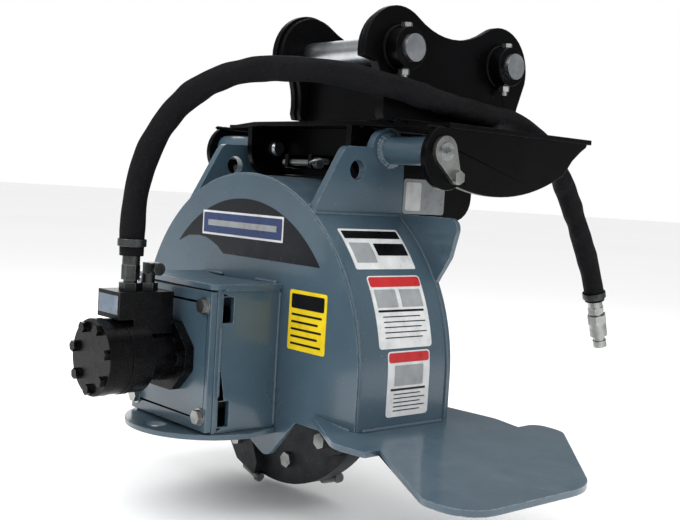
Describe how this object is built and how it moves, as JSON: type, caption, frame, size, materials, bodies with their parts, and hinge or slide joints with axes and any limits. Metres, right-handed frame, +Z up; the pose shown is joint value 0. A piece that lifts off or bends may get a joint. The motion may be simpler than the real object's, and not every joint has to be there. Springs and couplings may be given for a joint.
{
  "type": "stump grinder attachment",
  "caption": "Excavator stump grinder: toothed wheel in a half-round housing, hydraulic motor, skid plate, swing frame, pin-on hitch and sleeved hose",
  "frame": {"origin": "middle of the front hitch pin, halfway between the hitch plates", "axes": "+Z up when hung from the hitch; the wheel axis runs along Y with the motor at -Y; the hitch and pivot pins run along X; the skid plate is at +X"},
  "size_m": [0.671, 0.6935, 0.5714],
  "materials": {
    "painted_grey": "semi-gloss grey-blue paint over welded steel",
    "painted_black": "semi-gloss black paint",
    "motor_black": "satin black paint on cast iron",
    "zinc_steel": "zinc-plated steel",
    "pin_steel": "turned bright steel",
    "dark_steel": "dark oxide steel",
    "carbide": "carbide-tipped steel",
    "plate_label": "blank stamped plate",
    "hose_sleeve": "woven black protective sleeve over rubber hose"
  },
  "bodies": {
    "hitch": {"frame_top_plate": "painted_black", "end_plate_near": "painted_black", "end_plate_far": "painted_black", "inner_plate_near": "painted_black", "inner_plate_far": "painted_black", "hitch_plate_near": "painted_black", "hitch_plate_far": "painted_black", "hitch_doublers": "painted_black", "frame_cross_plates": "painted_black", "pin_collars": "painted_black", "hitch_pin_front": "pin_steel", "hitch_pin_rear": "pin_steel", "pin_lock_bolts": "zinc_steel", "pivot_pin_near": "pin_steel", "pivot_pin_far": "pin_steel", "pin_keepers": "zinc_steel", "keeper_bolts": "zinc_steel", "grease_nipples": "zinc_steel", "lock_pin_lugs": "painted_black", "hose": "hose_sleeve", "free_end_clamp": "dark_steel", "hose_end_ferrule": "zinc_steel", "quick_coupler": "zinc_steel"},
    "head": {"front_side_plate": "painted_grey", "back_side_plate": "painted_grey", "outer_band": "painted_grey", "ear_near": "painted_grey", "ear_far": "painted_grey", "pivot_tube_near": "painted_grey", "pivot_tube_far": "painted_grey", "pivot_spacers": "zinc_steel", "skid_plate": "painted_grey", "box_side_walls": "painted_grey", "box_front_frame": "painted_grey", "box_lid": "painted_grey", "box_bottom_plate": "painted_grey", "motor_mount_plate": "painted_grey", "mount_plate_bolts": "zinc_steel", "motor_housing": "motor_black", "motor_spacer_rings": "motor_black", "motor_end_cap": "motor_black", "motor_cap_bolts": "motor_black", "motor_flange_bolts": "motor_black", "motor_data_plate": "plate_label", "hose_port_fitting": "dark_steel", "elbow_fitting": "dark_steel", "shaft_bearing_block": "motor_black", "bearing_bolts": "zinc_steel", "motor_end_clamp": "dark_steel"},
    "rotor": {"drive_shaft": "pin_steel", "motor_shaft": "pin_steel", "shaft_coupling": "dark_steel", "wheel_hub": "dark_steel", "hub_bolts": "zinc_steel", "cutter_wheel": "dark_steel", "tooth_holders": "dark_steel", "tooth_bolts": "zinc_steel", "cutter_teeth": "carbide"},
    "lock_pin_body": {"lock_pin": "zinc_steel"},
    "lock_ring_body": {"lock_pin_ring": "zinc_steel"}
  },
  "joints": [
    {"name": "head_swing", "type": "hinge", "parent": "hitch", "child": "head", "pos_m": [0, 0.025, -0.11], "axis": [1, 0, 0], "range_deg": [-15, 0], "deforming": ["hose"]},
    {"name": "wheel_spin", "type": "hinge", "parent": "head", "child": "rotor", "pos_m": [-0.072, -0.005, -0.35], "axis": [0, 1, 0], "continuous": true},
    {"name": "lock_pin_slide", "type": "slide", "parent": "hitch", "child": "lock_pin_body", "axis": [1, 0, 0], "range_m": [0, 0.04]},
    {"name": "lock_ring_swing", "type": "hinge", "parent": "lock_pin_body", "child": "lock_ring_body", "pos_m": [-0.0415, -0.003, -0.128], "axis": [0, 1, 0], "range_deg": [-60, 30]}
  ]
}
